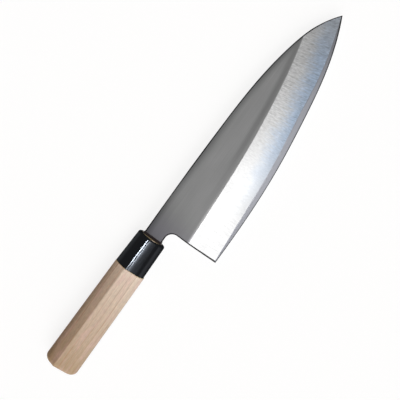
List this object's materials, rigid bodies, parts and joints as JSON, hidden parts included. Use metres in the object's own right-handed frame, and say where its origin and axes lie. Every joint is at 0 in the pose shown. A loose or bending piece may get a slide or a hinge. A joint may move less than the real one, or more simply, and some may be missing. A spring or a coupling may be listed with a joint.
{
  "type": "deba knife",
  "caption": "Single-bevel deba knife: laminated carbon steel blade about 240 mm long with a hollow back, chestnut-shaped wooden handle and glossy black ferrule.",
  "frame": {"origin": "middle of the bottom of the bounding box, with the blade lying flat", "axes": "+X from the butt to the tip, +Y towards the spine, +Z out of the ground face"},
  "size_m": [0.3988, 0.0752, 0.0256],
  "materials": {
    "soft_iron": "ground and satin",
    "hard_steel": "ground and honed",
    "magnolia_wood": "planed and sanded, bare",
    "black_horn": "polished",
    "dark_seal": "set resin, dull"
  },
  "bodies": {
    "root": {"soft_iron_body": "soft_iron", "hard_steel_layer": "hard_steel", "wood_handle": "magnolia_wood", "ferrule": "black_horn", "neck_seal": "dark_seal"}
  },
  "joints": []
}
